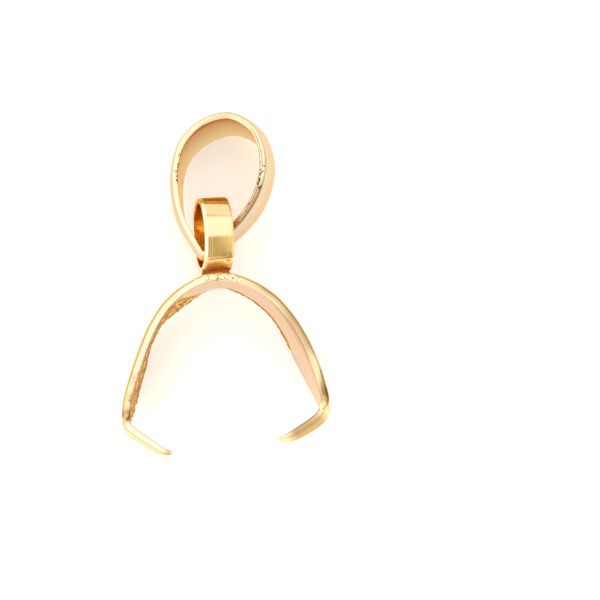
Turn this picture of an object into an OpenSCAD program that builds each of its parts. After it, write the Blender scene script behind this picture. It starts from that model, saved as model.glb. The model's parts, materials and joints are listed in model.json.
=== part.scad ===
// Pinch bail: a leaf shaped loop for a chain hangs in a short ring that
// is soldered on a springy clip with two prongs. Sizes in millimetres.
// X runs across the clip, Y from the prongs to the loop, Z up from the surface
// that it lies on. The drawing is laid out about the centre of the ring.

/* [Ring] */
// outer radius of the ring
ring_outer_r = 1.63; // [1.4:0.01:1.9]
// inner radius of the ring
ring_inner_r = 1.40; // [1.1:0.01:1.6]
// length of the ring along its axis
ring_length = 1.28; // [0.8:0.01:1.8]
// rounding of the ring's four rims
ring_rim_r = 0.09; // [0.03:0.01:0.11]
// how far the ring's left end is lifted, in degrees
ring_lift = 9; // [0:0.5:10]
// how far the ring is turned in the clip's plane, in degrees
ring_turn = 2; // [-4:0.5:6]
// sideways place of the ring on the clip
ring_offset = -0.10; // [-0.3:0.01:0.3]

/* [Clip] */
// half span of the arms at their middle line
arm_reach = 4.33; // [3.5:0.01:5]
// drop from the apex to the foot of the arms
arm_drop = 6.40; // [5:0.01:8]
// greatest width of the arms' leaf shape
leaf_width = 3.20; // [2.4:0.05:3.3]
// thickness of the clip's strip
clip_t = 0.37; // [0.25:0.01:0.5]
// how far the widest part of an arm is domed outwards
clip_dome = 0.15; // [0:0.01:0.4]
// rounding of the strip's outer edges
clip_edge_r = 0.14; // [0.05:0.01:0.18]
// how far the right arm's inner face leans up, in degrees
right_lean = 4; // [0:0.5:8]
// how far the left arm's shoulder leans in, in degrees
left_lean = 5; // [0:0.5:8]
// thickness of a prong at its root
prong_d = 0.43; // [0.3:0.01:0.6]

/* [Solder] */
// thickness of the solder between ring and clip
solder_gap = 0.245; // [0.05:0.005:0.4]
// length of the solder along the ring
solder_length = 1.20; // [0.6:0.01:1.3]
// width of the solder at the clip
solder_width = 0.80; // [0.5:0.01:1.2]
// width of the solder at the ring
solder_neck = 0.54; // [0.4:0.01:1.0]
// how deep the solder runs into the ring's wall
solder_depth = 0.14; // [0.05:0.01:0.16]

/* [Loop] */
// outline scale of the loop across
loop_reach = 2.42; // [2:0.01:3]
// length of the loop's middle line from tip to top
loop_length = 5.98; // [5:0.01:7]
// greatest width of the loop's strip
loop_width = 2.60; // [1.8:0.05:3.2]
// width of the loop's strip at the tip
tip_width = 0.90; // [0.6:0.01:1.1]
// thickness of the loop's strip
loop_t = 0.30; // [0.2:0.01:0.36]
// how far the widest part of the loop is domed outwards
loop_dome = 0.26; // [0:0.01:0.4]
// rounding of the strip's outer edges
loop_edge_r = 0.12; // [0.04:0.01:0.14]
// greatest lean of the strip, its outer side facing up, in degrees
loop_lean = 4; // [0:0.5:12]
// how far the tip's middle may lie off the ring's middle plane
tip_off = 0.12; // [0:0.01:0.2]
// free play between the tip's corners and the ring's bore
loop_play = 0.14; // [0.06:0.01:0.3]
// turn of the loop in the clip's plane, in degrees
loop_turn = -3.25; // [-8:0.25:8]
// dip of the loop's top end, in degrees
loop_dip = 3.5; // [0:0.25:6]
// lift of the loop's right side, in degrees
loop_lift = 6; // [0:0.25:8]

/* [Hidden] */

// steps between two rows of a table
clip_steps = 3;
loop_steps = 5;
// what a round corner drawn in three points keeps back at its middle one
corner_share = 1 - cos(45);
// the ring's centre to the middle line of the clip's apex
apex_drop = ring_outer_r + solder_gap + clip_t / 2;

// the arms from the apex to their feet, as shares of arm_reach, arm_drop,
// leaf_width, clip_t and the arm's own lean
// [across, down, width, thickness, lean]
left_arm_rows = [
    [0.000, 0.000, 0.40, 1.00,  0.0],
    [0.171, 0.025, 0.50, 1.00,  0.0],
    [0.359, 0.097, 0.63, 1.00,  0.0],
    [0.482, 0.160, 0.71, 1.00,  0.4],
    [0.586, 0.222, 0.78, 1.00,  1.0],
    [0.710, 0.355, 0.91, 1.00,  0.9],
    [0.790, 0.495, 0.99, 1.00,  0.4],
    [0.859, 0.627, 0.98, 1.00,  0.1],
    [0.921, 0.748, 0.86, 1.00, -0.2],
    [0.968, 0.850, 0.62, 1.00, -0.6],
    [0.988, 0.913, 0.40, 1.03, -0.6],
];
right_arm_rows = [
    [0.000, 0.000, 0.40, 1.00, 0.0],
    [0.171, 0.025, 0.50, 1.00, 0.0],
    [0.359, 0.097, 0.63, 1.00, 0.1],
    [0.476, 0.164, 0.71, 1.00, 0.2],
    [0.566, 0.231, 0.78, 1.00, 0.4],
    [0.686, 0.364, 0.91, 1.00, 0.8],
    [0.778, 0.498, 0.99, 1.00, 1.0],
    [0.857, 0.627, 0.98, 1.00, 1.0],
    [0.921, 0.748, 0.86, 1.00, 1.0],
    [0.968, 0.850, 0.62, 1.00, 0.8],
    [0.988, 0.913, 0.40, 1.03, 0.3],
];

// the corners and prongs, as shares of arm_reach, arm_drop and, twice, prong_d
// [across, down, width, thickness]
left_foot_rows = [
    [1.000, 0.947, 1.50, 0.92],
    [0.986, 0.994, 1.15, 1.00],
    [0.928, 1.038, 1.03, 1.00],
    [0.788, 1.111, 0.98, 0.95],
    [0.693, 1.159, 0.88, 0.86],
    [0.628, 1.183, 0.62, 0.62],
    [0.580, 1.189, 0.50, 0.48],
    [0.556, 1.189, 0.26, 0.24],
];
right_foot_rows = [
    [0.986, 0.952, 1.50, 0.92],
    [0.947, 0.994, 1.15, 1.00],
    [0.868, 1.038, 1.03, 1.00],
    [0.759, 1.081, 0.98, 0.95],
    [0.656, 1.116, 0.88, 0.84],
    [0.580, 1.133, 0.70, 0.64],
    [0.536, 1.138, 0.50, 0.44],
    [0.517, 1.139, 0.26, 0.22],
];

// the loop from its top round by the right to the tip and back, as shares of
// loop_reach, of loop_length from the tip up, of the way from tip_width to
// loop_width, and of loop_lean
// [across, up, width, lean]
loop_rows = [
    [ 0.338, 1.015, 1.00, 0.6],
    [ 0.752, 0.922, 0.95, 1.0],
    [ 0.925, 0.770, 0.90, 0.9],
    [ 0.946, 0.606, 0.83, 0.3],
    [ 0.822, 0.424, 0.68, 0.0],
    [ 0.588, 0.274, 0.44, 0.0],
    [ 0.289, 0.145, 0.24, 0.0],
    [ 0.041, 0.048, 0.09, 0.0],
    [-0.136, 0.000, 0.00, 0.0],
    [-0.264, 0.046, 0.06, 0.0],
    [-0.413, 0.145, 0.21, 0.0],
    [-0.568, 0.283, 0.47, 0.0],
    [-0.646, 0.448, 0.70, 0.0],
    [-0.646, 0.640, 0.80, 0.1],
    [-0.508, 0.830, 0.90, 0.2],
    [-0.140, 0.968, 0.98, 0.3],
];

// a smooth run through four neighbouring rows, t from 0 to 1 between b and c
function between(a, b, c, d, t) =
    0.5 * (2 * b + (c - a) * t + (2 * a - 5 * b + 4 * c - d) * t * t + (3 * b - a - 3 * c + d) * t * t * t);
function open_run(rows, steps) = let (last = len(rows) - 1) [
    for (i = [0 : last - 1], k = [0 : steps - 1])
        between(rows[max(i - 1, 0)], rows[i], rows[i + 1], rows[min(i + 2, last)], k / steps),
    rows[last],
];
function closed_run(rows, steps) = let (n = len(rows)) [
    for (i = [0 : n - 1], k = [0 : steps - 1])
        between(rows[(i + n - 1) % n], rows[i], rows[(i + 1) % n], rows[(i + 2) % n], k / steps),
];
function unit(v) = v / norm(v);

// the strip's cross section, [outwards, up], from the upper inner edge over the
// outer side and back: rounded outer edges, nearly sharp inner ones
function section(width, thick, dome, edge) = let (
    hw = width / 2,
    ht = thick / 2,
    ro = min(edge, hw * 0.85, ht * 0.95),
    ri = min(edge * 0.3, hw * 0.7, ht * 0.6),
    cut = ro * corner_share,
    flat = hw - ro,
    inner = hw - ri,
    sag = function (z) dome * (1 - pow(z / hw, 2))
) [
    [sag(inner) - ht, inner],
    [sag(hw) - ht + ri, hw],
    [sag(hw) + ht - ro, hw],
    [sag(hw - cut) + ht - cut, hw - cut],
    [sag(flat) + ht, flat],
    [sag(flat / 2) + ht, flat / 2],
    [sag(0) + ht, 0],
    [sag(flat / 2) + ht, -flat / 2],
    [sag(flat) + ht, -flat],
    [sag(hw - cut) + ht - cut, -hw + cut],
    [sag(hw) + ht - ro, -hw],
    [sag(hw) - ht + ri, -hw],
    [sag(inner) - ht, -inner],
    [sag(inner / 2) - ht, -inner / 2],
    [sag(0) - ht, 0],
    [sag(inner / 2) - ht, inner / 2],
];
section_points = len(section(leaf_width, clip_t, clip_dome, clip_edge_r));

// the points of a strip whose outer side lies left of its run: at each station
// [x, y, width, thickness, lean] the section stands across the run, and a
// positive lean turns its outer side up
function strip_points(run, closed, full_dome, full_width, edge) = let (n = len(run)) [
    for (i = [0 : n - 1]) let (
        before = closed ? run[(i + n - 1) % n] : run[max(i - 1, 0)],
        after = closed ? run[(i + 1) % n] : run[min(i + 1, n - 1)],
        along = unit([after[0] - before[0], after[1] - before[1]]),
        out = [-along[1], along[0]],
        dome = full_dome * pow(run[i][2] / full_width, 2),
        c = cos(run[i][4]),
        s = sin(run[i][4])
    ) for (q = section(run[i][2], run[i][3], dome, edge)) let (
        aside = q[0] * c - q[1] * s
    ) [run[i][0] + out[0] * aside, run[i][1] + out[1] * aside, q[0] * s + q[1] * c],
];
function strip_faces(n, closed) = let (m = section_points, last = (n - 1) * m) [
    for (i = [0 : (closed ? n - 1 : n - 2)], j = [0 : m - 1]) let (
        a = i * m + j,
        b = i * m + (j + 1) % m,
        c = ((i + 1) % n) * m + (j + 1) % m,
        d = ((i + 1) % n) * m + j
    ) each [[a, b, c], [a, c, d]],
    if (!closed) for (j = [1 : m - 2]) each [[0, j + 1, j], [last, last + j, last + j + 1]],
];

// the clip's run from the left prong's tip over the apex to the right one's,
// about the ring's centre
function clip_place(row, hand) = [hand * row[0] * arm_reach, -apex_drop - row[1] * arm_drop];
function arm_row(row, hand, lean) = concat(
    clip_place(row, hand),
    [row[2] * leaf_width, row[3] * clip_t, row[4] * lean]
);
function foot_row(row, hand) = concat(clip_place(row, hand), [row[2] * prong_d, row[3] * prong_d, 0]);
clip_rows = [
    for (i = [len(left_foot_rows) - 1 : -1 : 0]) foot_row(left_foot_rows[i], -1),
    for (i = [len(left_arm_rows) - 1 : -1 : 1]) arm_row(left_arm_rows[i], -1, left_lean),
    for (row = right_arm_rows) arm_row(row, 1, -right_lean),
    for (row = right_foot_rows) foot_row(row, 1),
];
clip_run = open_run(clip_rows, clip_steps);
clip_points = strip_points(clip_run, false, clip_dome, leaf_width, clip_edge_r);

// the ring's wall, [radius, along its axis]
ring_profile = let (h = ring_length / 2, r = ring_rim_r, cut = r * corner_share) [
    [ring_inner_r, -h + r / 2],
    [ring_inner_r + r / 2, -h],
    [ring_outer_r - r, -h],
    [ring_outer_r - cut, -h + cut],
    [ring_outer_r, -h + r],
    [ring_outer_r, h - r],
    [ring_outer_r - cut, h - cut],
    [ring_outer_r - r, h],
    [ring_inner_r + r / 2, h],
    [ring_inner_r, h - r / 2],
];
ring_low = max([for (p = ring_profile) p[0] * cos(ring_lift) + p[1] * sin(ring_lift)]);

// the loop's tip stands off the bore by its play at the corners of its outer side
tip_drop = sqrt(pow(ring_inner_r - loop_play, 2) - pow(tip_width / 2 + tip_off, 2)) - loop_t / 2;
function strip_width(share) = tip_width + share * (loop_width - tip_width);
loop_run = closed_run([for (row = loop_rows) [
    row[0] * loop_reach,
    row[1] * loop_length - tip_drop,
    strip_width(row[2]),
    loop_t,
    row[3] * loop_lean,
]], loop_steps);

// turns a point about Z, X and Y, in the order that the loop is laid down
function lifted(p, a) = [p[0] * cos(a) - p[2] * sin(a), p[1], p[0] * sin(a) + p[2] * cos(a)];
function dipped(p, a) = [p[0], p[1] * cos(a) + p[2] * sin(a), -p[1] * sin(a) + p[2] * cos(a)];
function turned(p, a) = [p[0] * cos(a) - p[1] * sin(a), p[0] * sin(a) + p[1] * cos(a), p[2]];
loop_points = [
    for (p = strip_points(loop_run, true, loop_dome, loop_width, loop_edge_r))
        turned(dipped(lifted(p, loop_lift), loop_dip), loop_turn) + [ring_offset, 0, 0]
];

// both pieces rest on the surface, and the whole part's box stands over the origin
function lowest(points, axis) = min([for (p = points) p[axis]]);
function highest(points, axis) = max([for (p = points) p[axis]]);
clip_high = max(ring_low, -lowest(clip_points, 2));
loop_high = -lowest(loop_points, 2);
all_points = concat(clip_points, loop_points);
middle = [for (axis = [0, 1]) (lowest(all_points, axis) + highest(all_points, axis)) / 2];

module clip_strip() {
    polyhedron(clip_points, strip_faces(len(clip_run), false));
}

module ring() {
    translate([ring_offset, 0, 0])
        rotate([0, 0, ring_turn])
            rotate([0, 90 + ring_lift, 0])
                rotate_extrude($fn = 64)
                    polygon(ring_profile);
}

// joins the ring's wall to the apex
module solder() {
    in_wall = ring_outer_r - solder_depth;
    at_wall = solder_neck / 2;
    at_clip = solder_width / 2;
    translate([ring_offset, 0, 0])
        rotate([90, 0, 90])
            linear_extrude(height = solder_length, center = true)
                polygon([
                    [-in_wall, -at_wall],
                    [-in_wall, at_wall],
                    [-ring_outer_r, at_wall],
                    [-apex_drop, at_clip],
                    [-apex_drop, -at_clip],
                    [-ring_outer_r, -at_wall],
                ]);
}

module pinch_clip() {
    color([0.86, 0.66, 0.30])
        translate([-middle[0], -middle[1], clip_high]) {
            clip_strip();
            ring();
            solder();
        }
}

module bail_loop() {
    color([0.86, 0.66, 0.30])
        translate([-middle[0], -middle[1], loop_high])
            polyhedron(loop_points, strip_faces(len(loop_run), true));
}

pinch_clip();
bail_loop();
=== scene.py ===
"""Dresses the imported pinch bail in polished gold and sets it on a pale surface."""

import json
import math

import bmesh
import bpy
from bpy.props import FloatProperty, FloatVectorProperty, PointerProperty
from mathutils import Matrix, Vector


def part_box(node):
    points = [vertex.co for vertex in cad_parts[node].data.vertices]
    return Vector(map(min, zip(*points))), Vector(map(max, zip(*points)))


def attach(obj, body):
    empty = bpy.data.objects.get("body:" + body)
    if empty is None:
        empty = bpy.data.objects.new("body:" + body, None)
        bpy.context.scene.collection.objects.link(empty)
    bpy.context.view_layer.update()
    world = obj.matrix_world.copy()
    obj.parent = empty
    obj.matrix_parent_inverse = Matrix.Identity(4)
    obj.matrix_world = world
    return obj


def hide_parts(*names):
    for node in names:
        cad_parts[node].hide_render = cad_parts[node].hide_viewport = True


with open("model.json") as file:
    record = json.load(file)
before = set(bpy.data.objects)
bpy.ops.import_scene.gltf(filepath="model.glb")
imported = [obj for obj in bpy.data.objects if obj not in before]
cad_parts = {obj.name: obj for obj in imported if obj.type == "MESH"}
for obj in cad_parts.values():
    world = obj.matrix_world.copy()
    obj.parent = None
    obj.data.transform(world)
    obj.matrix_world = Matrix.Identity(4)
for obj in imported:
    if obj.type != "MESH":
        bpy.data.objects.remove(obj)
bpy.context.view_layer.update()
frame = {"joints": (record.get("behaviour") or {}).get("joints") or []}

bl_info = {
    "name": "Pinch Bail",
    "version": (1, 0, 0),
    "blender": (4, 5, 0),
    "location": "3D View > Sidebar > Bail",
    "description": "Builds the strips, ring and solder of a pinch bail over its CAD frame",
    "category": "Object",
}

MM = 0.001
SWING = frame["joints"][0]
RING_CENTRE = Vector(SWING["pos_m"]) / MM
RING_AXIS = Vector(SWING["axis"]).normalized()

# The clip's arms from the apex to their feet, as shares of arm_reach, arm_drop,
# leaf_width, thickness and the arm's own lean: across, down, width, thickness, lean
LEFT_ARM_ROWS = (
    (0.000, 0.000, 0.40, 1.00, 0.0),
    (0.171, 0.025, 0.50, 1.00, 0.0),
    (0.359, 0.097, 0.63, 1.00, 0.0),
    (0.482, 0.160, 0.71, 1.00, 0.4),
    (0.586, 0.222, 0.78, 1.00, 1.0),
    (0.710, 0.355, 0.91, 1.00, 0.9),
    (0.790, 0.495, 0.99, 1.00, 0.4),
    (0.859, 0.627, 0.98, 1.00, 0.1),
    (0.921, 0.748, 0.86, 1.00, -0.2),
    (0.968, 0.850, 0.62, 1.00, -0.6),
    (0.988, 0.913, 0.40, 1.03, -0.6),
)
RIGHT_ARM_ROWS = (
    (0.000, 0.000, 0.40, 1.00, 0.0),
    (0.171, 0.025, 0.50, 1.00, 0.0),
    (0.359, 0.097, 0.63, 1.00, 0.1),
    (0.476, 0.164, 0.71, 1.00, 0.2),
    (0.566, 0.231, 0.78, 1.00, 0.4),
    (0.686, 0.364, 0.91, 1.00, 0.8),
    (0.778, 0.498, 0.99, 1.00, 1.0),
    (0.857, 0.627, 0.98, 1.00, 1.0),
    (0.921, 0.748, 0.86, 1.00, 1.0),
    (0.968, 0.850, 0.62, 1.00, 0.8),
    (0.988, 0.913, 0.40, 1.03, 0.3),
)

# The corners and prongs, as shares of arm_reach, arm_drop and, twice, of
# prong_thickness: across, down, width, thickness
LEFT_FOOT_ROWS = (
    (1.000, 0.947, 1.50, 0.92),
    (0.986, 0.994, 1.15, 1.00),
    (0.928, 1.038, 1.03, 1.00),
    (0.788, 1.111, 0.98, 0.95),
    (0.693, 1.159, 0.88, 0.86),
    (0.628, 1.183, 0.62, 0.62),
    (0.580, 1.189, 0.50, 0.48),
    (0.556, 1.189, 0.26, 0.24),
)
RIGHT_FOOT_ROWS = (
    (0.986, 0.952, 1.50, 0.92),
    (0.947, 0.994, 1.15, 1.00),
    (0.868, 1.038, 1.03, 1.00),
    (0.759, 1.081, 0.98, 0.95),
    (0.656, 1.116, 0.88, 0.84),
    (0.580, 1.133, 0.70, 0.64),
    (0.536, 1.138, 0.50, 0.44),
    (0.517, 1.139, 0.26, 0.22),
)

# The loop from its top round by the right to the tip and back, as shares of
# loop_reach, of loop_length, of the way from tip_width to loop_width, and of
# loop_lean: across, up, width, lean
LOOP_ROWS = (
    (0.338, 1.015, 1.00, 0.6),
    (0.752, 0.922, 0.95, 1.0),
    (0.925, 0.770, 0.90, 0.9),
    (0.946, 0.606, 0.83, 0.3),
    (0.822, 0.424, 0.68, 0.0),
    (0.588, 0.274, 0.44, 0.0),
    (0.289, 0.145, 0.24, 0.0),
    (0.041, 0.048, 0.09, 0.0),
    (-0.136, 0.000, 0.00, 0.0),
    (-0.264, 0.046, 0.06, 0.0),
    (-0.413, 0.145, 0.21, 0.0),
    (-0.568, 0.283, 0.47, 0.0),
    (-0.646, 0.448, 0.70, 0.0),
    (-0.646, 0.640, 0.80, 0.1),
    (-0.508, 0.830, 0.90, 0.2),
    (-0.140, 0.968, 0.98, 0.3),
)

# How many rows the clip's run counts from one prong's tip to the other's, which
# of them is its apex, and how many the loop counts round to its top again
CLIP_ROWS = len(LEFT_FOOT_ROWS) + len(LEFT_ARM_ROWS) + len(RIGHT_ARM_ROWS) + len(RIGHT_FOOT_ROWS) - 2
APEX_ROW = len(LEFT_FOOT_ROWS) + len(LEFT_ARM_ROWS) - 1
LOOP_TURN_ROWS = len(LOOP_ROWS)

# Painted shade on the clip, by row of its run: first, last, its share at the inner rim
# and at the outer rim, its strength, and where it starts on the way across
CLIP_PAINTED_SHADES = (
    (0.4, 2.2, 0.8, 0.8, 0.60, 0.6),
    (6.2, 8.6, 1.0, 0.2, 1.00, 0.6),
    (8.8, 9.6, 0.7, 0.0, 0.60, 0.6),
    (10.8, 17.2, 0.0, 0.7, 0.30, 0.6),
    (19.2, 25.4, 0.0, 1.0, 0.78, 0.6),
    (22.0, 25.4, 0.5, 1.0, 0.78, 0.6),
    (26.4, 28.5, 0.3, 1.0, 0.95, 0.6),
    (29.3, 33.8, 0.8, 0.9, 0.80, -1.0),
)

# Stretches of the runs, by row: where each one rises and where it falls again, or
# one pair where it only rises
LEFT_LINE_ROWS = ((7.6, 8.6), (16.6, 17.4))
RIGHT_LINE_ROWS = ((18.2, 18.8), (24.0, 26.0))
LEFT_ROUGH_ROWS = (7.0, 8.0)
LEFT_NARROWING_ROWS = (APEX_ROW - 3.3, APEX_ROW - 0.9)
RIGHT_ROUGH_ROWS = ((APEX_ROW + 0.3, APEX_ROW + 0.6), (APEX_ROW + 5.2, APEX_ROW + 6.0))
LOOP_SPLIT_ROWS = ((0.6, 1.6), (4.6, 6.6))
LOOP_TOP_LEFT_ROWS = (12.6, 14.6)
LOOP_TOP_RIGHT_ROWS = (0.6, 2.0)
LOOP_LOW_DARK_ROWS = ((3.4, 4.0), (6.0, 6.6))
LOOP_PITTED_ROWS = ((1.6, 2.4), (6.4, 6.9))
LOOP_BLACK_ROWS = ((2.7, 3.0), (4.0, 4.4))
LOOP_SPECKLED_ROWS = ((12.0, 12.4), (13.6, 14.0))

# Zones across a strip, as shares of the way from its lower edge to its upper one
PAINTED_SHADE_FADE = 0.35
LOWER_LINE = (0.02, 0.18)
LOWER_TEETH = (0.08, 0.26)
WALL_SHADE = (0.2, 0.8)
UPPER_SPLIT = (0.7, 1.0)
UPPER_CUT = (0.8, 1.0)
UPPER_RIM = (0.84, 1.0)

# Zones through a strip, as shares of the way from its inner wall to its outer one
INNER_WALL = (0.02, 0.20)
OUTER_WALL = (0.85, 0.98)
INNER_LINE = ((0.0, 0.03), (0.07, 0.15))
OUTER_LINE = ((0.84, 0.91), (0.95, 0.99))
SPLIT_MIDDLE = 0.42
SPLIT_SIDE = (0.02, 0.08)

# What each point of a strip is marked with, for its shaping, its plating and its painted shade
MARKS = ("outer", "worn", "pitted", "groove", "stain")

# A blank's columns of points across. The column beside each rim is this far from
# it, in mm, or this share of half the width where that is less
COLUMNS = 7
SUPPORT = 0.11
SUPPORT_SHARE = 0.4

# Stations that a run has from each row to the next
CLIP_STEPS = 3
LOOP_STEPS = 5

# Rounding of the outer rims and the width from which they have it, in mm, and
# how crisp the inner rims stay
CLIP_RIM = 0.13
LOOP_RIM = 0.10
ROUNDED_FROM = 0.8
INNER_CREASE = 0.5

# Teeth of the rough zones: their height and size, in mm, and the wear from which
# the mesh is fine enough for them
CLIP_TEETH_HEIGHT = 0.08
LOOP_TEETH_HEIGHT = 0.045
TEETH_SIZE = 0.15
ROUGH_FROM = 0.02

# Points nearer to each other than this, in mm, are one, and edges that turn more
# than this, in degrees, look sharp
MERGE = 0.0005
SHARP_DEGREES = 65

# How the ring is turned: steps round it, points in each rim, and how squarely a
# face looks at the axis to be in the bore
RING_STEPS = 160
RIM_SEGMENTS = 6
BORE_FACING = -0.8

# Lumps of solder about the ring's centre, in mm: across, down, up, radius
SOLDER_LUMPS = (
    (-0.88, 2.25, 0.69, 0.18),
    (-0.50, 2.13, 0.58, 0.23),
    (-0.08, 2.07, 0.57, 0.21),
    (0.32, 2.07, 0.57, 0.20),
    (0.68, 2.13, 0.60, 0.23),
    (1.02, 2.31, 0.73, 0.16),
    (-0.48, 1.80, 0.12, 0.12),
    (0.48, 1.80, 0.10, 0.13),
    (-0.48, 1.80, -0.16, 0.12),
    (0.46, 1.80, -0.18, 0.13),
    (-0.24, 1.86, -0.44, 0.15),
    (0.10, 1.90, -0.46, 0.13),
    (0.42, 1.88, -0.44, 0.14),
)

# How the solder is melted together: the stretch of a lump, how deep the solder
# bites into the band and the grain of its skin, in mm, how strongly and how often
# the skin is smoothed, and the height and size of its ripples, in mm
LUMP_STRETCH = (1.15, 0.9, 1.05)
SOLDER_BITE = 0.12
SOLDER_GRAIN = 0.028
SOLDER_SOFTNESS = 0.6
SOLDER_SOFTENINGS = 5
SOLDER_RIPPLE = 0.05
SOLDER_RIPPLE_SIZE = 0.22

# Noise in the plating: waves to a metre, detail, roughness. The wipe marks are
# stretched, so they count in their own units
SMEARS = (420, 3, 0.55)
WIPE_STRETCH = (900, 3600, 1400)
WIPES = (1.0, 2, 0.6)
DIMPLES = (1500, 2, 0.5)
BRUSH_LINES = (16000, 3, 0.7)
GRAIN = (6200, 2, 0.6)
TEETH = (3600, 1, 0.5)
SPECKS = (9000, 1, 0.5)
BLOBS = (2600, 3, 0.6)

# Gold in a smear, as shares of its colour, what edges seen at a low angle are
# tinted with, and the bump's strength and depth in metres
DEEPER_GOLD = (0.94, 0.84, 0.72, 1.0)
WHITE_GLANCE = (1.0, 0.76, 0.56, 1.0)
AMBER_GLANCE = (1.0, 0.60, 0.25, 1.0)
BUMP_STRENGTH = 0.35
BUMP_DEPTH = 0.01 * MM


def turned(*degrees):
    """Turns in degrees, as radians."""
    return tuple(math.radians(d) for d in degrees)


# Bands of painted reflection and shade round the ring, and its rougher foot, by the turn
# from its top towards the clip: where each one rises, and where it falls again
FAR_SIDE = turned(-51, -46)
TOP_SEAM = (turned(-18, -16), turned(-15, -12))
FRONT_RISES, FRONT_FALLS = turned(16, 20), turned(55, 57)
LOW_LINE = (turned(53, 54.5), turned(56, 57.5))
LOW_STREAK = (turned(57, 59), turned(66, 69))
LOW_AMBER = turned(69, 73)
FOOT_SHADOW_TURN = turned(80, 86)
DULL_FOOT = turned(65, 69)
BAND_WAVE = 0.12

# The painted highlight on the ring's left rim, by its way from the middle and its soft edge, and
# the painted shade and shadow on the solder's lower side, by their heights over the ring's centre, in mm
LEFT_RIM, LEFT_RIM_FADE = 0.47, 0.06
SOLDER_BROWN = (0.66 * MM, 0.73 * MM)
SOLDER_SHADOW_HEIGHT = (0.40 * MM, 0.54 * MM)

# The soft boxes on the studio's ceiling: their middles and half sizes, across and
# along, their soft edge, the height that they fade out at, and their brightness
OVERHEAD_BOX = (0.55, 0.24, 0.95, 0.55)
SIDE_BOX = (1.15, 0.95, 0.90, 0.50)
BOX_EDGE = (0.8, 1.25)
BOX_HEIGHT = (0.15, 0.3)
BOX_LIGHT = 0.40
SIDE_SHARE = 0.8
CEILING_LOWEST = 0.02

# The studio's room: its own brightness, then where each wall starts and what it
# adds, and where a dark card, the ceiling's seam and the dark horizon lie and what
# they take away
ROOM_LIGHT = 0.82
FAR_WALL, FAR_LIGHT = (0.2, 0.6), 0.22
NEAR_WALL, NEAR_LIGHT = (0.1, 0.4), 0.40
LEFT_WALL, LEFT_LIGHT = (0.2, 0.5), 0.35
CARD_MIDDLE, CARD_SIDE, CARD_FRONT, CARD_DARK = 0.24, (0.10, 0.17), (0.26, 0.40), 0.74
SEAM_MIDDLE, SEAM_SIDE, SEAM_HEIGHT, SEAM_DARK = 1.15, (0.03, 0.10), (0.2, 0.3), 0.28
HORIZON, HORIZON_DARK = (0.04, 0.20), 0.5

# Colours of the light, and the surface's size in metres and its own glow
WARM_LIGHT = (1.0, 0.94, 0.85, 1.0)
WHITE_LIGHT = (1.0, 1.0, 1.0, 1.0)
BACKDROP = (0.93, 0.92, 0.91, 1.0)
SURFACE_SIZE = 2.0
SURFACE_GLOW = 0.32

# The camera: the photograph's frame, where the ring's centre is in it, the angles
# and the distance in metres that it is seen from, and the camera's own sizes
FRAME_PIXELS = 600
PIXELS_PER_MM = 23.0
RING_PIXEL = (213.5, 235.0)
ELEVATION = math.radians(74.5)
HEADING = math.radians(3.25)
DISTANCE = 0.5
SENSOR = 36.0
NEAREST, FARTHEST = 0.01, 10.0


def length(name, about, default):
    """A size in mm."""
    return FloatProperty(name=name, description=about, default=default, precision=3)


def angle(name, about, default):
    """An angle that is given in degrees."""
    default = math.radians(default)
    return FloatProperty(name=name, description=about, default=default, subtype="ANGLE")


def colour(name, about, default):
    return FloatVectorProperty(
        name=name, description=about, default=default, subtype="COLOR", min=0, max=1
    )


class BailClipSizes(bpy.types.PropertyGroup):
    arm_reach: length("Arm reach", "Half span of the arms at their middle line, in mm", 4.33)
    arm_drop: length("Arm drop", "Drop from the apex to the foot of the arms, in mm", 6.40)
    apex_drop: length("Apex drop", "Ring's centre to the middle line of the apex, in mm", 2.06)
    leaf_width: length("Leaf width", "Greatest width of an arm, in mm", 3.20)
    thickness: length("Thickness", "Thickness of the strip, in mm", 0.37)
    dome: length("Dome", "How far an arm is domed outwards, in mm", 0.15)
    prong_thickness: length("Prong thickness", "Thickness of a prong at its root, in mm", 0.43)
    left_lean: angle("Left lean", "How far the left arm's shoulder leans in", 5)
    right_lean: angle("Right lean", "How far the right arm's inner face leans up", 4)
    prong_twist: angle("Prong twist", "Twist of the right prong about its own line", 24)
    ring_offset: length("Ring offset", "Sideways place of the ring on the clip, in mm", -0.10)


class BailRingSizes(bpy.types.PropertyGroup):
    outer_r: length("Outer radius", "Outer radius of the ring, in mm", 1.63)
    inner_r: length("Inner radius", "Inner radius of the ring, in mm", 1.40)
    band: length("Band", "Length of the ring along its axis, in mm", 1.28)
    rim: length("Rim", "Rounding of the ring's outer rims, in mm", 0.12)
    bore_rim: length("Bore rim", "Rounding of the ring's inner rims, in mm", 0.05)


class BailLoopSizes(bpy.types.PropertyGroup):
    reach: length("Reach", "Outline scale of the loop across, in mm", 2.42)
    length: length("Length", "Middle line from tip to top, in mm", 5.98)
    width: length("Width", "Greatest width of the strip, in mm", 2.60)
    tip_width: length("Tip width", "Width of the strip at the tip, in mm", 0.90)
    thickness: length("Thickness", "Thickness of the strip, in mm", 0.30)
    dome: length("Dome", "How far the widest part is domed outwards, in mm", 0.26)
    tip_drop: length("Tip drop", "Ring's centre to the tip's middle line, in mm", 0.974)
    lean: angle("Lean", "Greatest lean of the strip", 4)
    turn: angle("Turn", "Turn of the loop in the clip's plane", -3.25)
    dip: angle("Dip", "Dip of the loop's top end", 3.5)
    lift: angle("Lift", "Lift of the loop's right side", 6)


class BailSolderSizes(bpy.types.PropertyGroup):
    length: length("Length", "Length of the solder along the ring, in mm", 1.14)
    width: length("Width", "Width of the solder, in mm", 0.50)
    lump: length("Lump", "Size of the solder's lumps, as a share of the ones drawn", 1.0)


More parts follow.
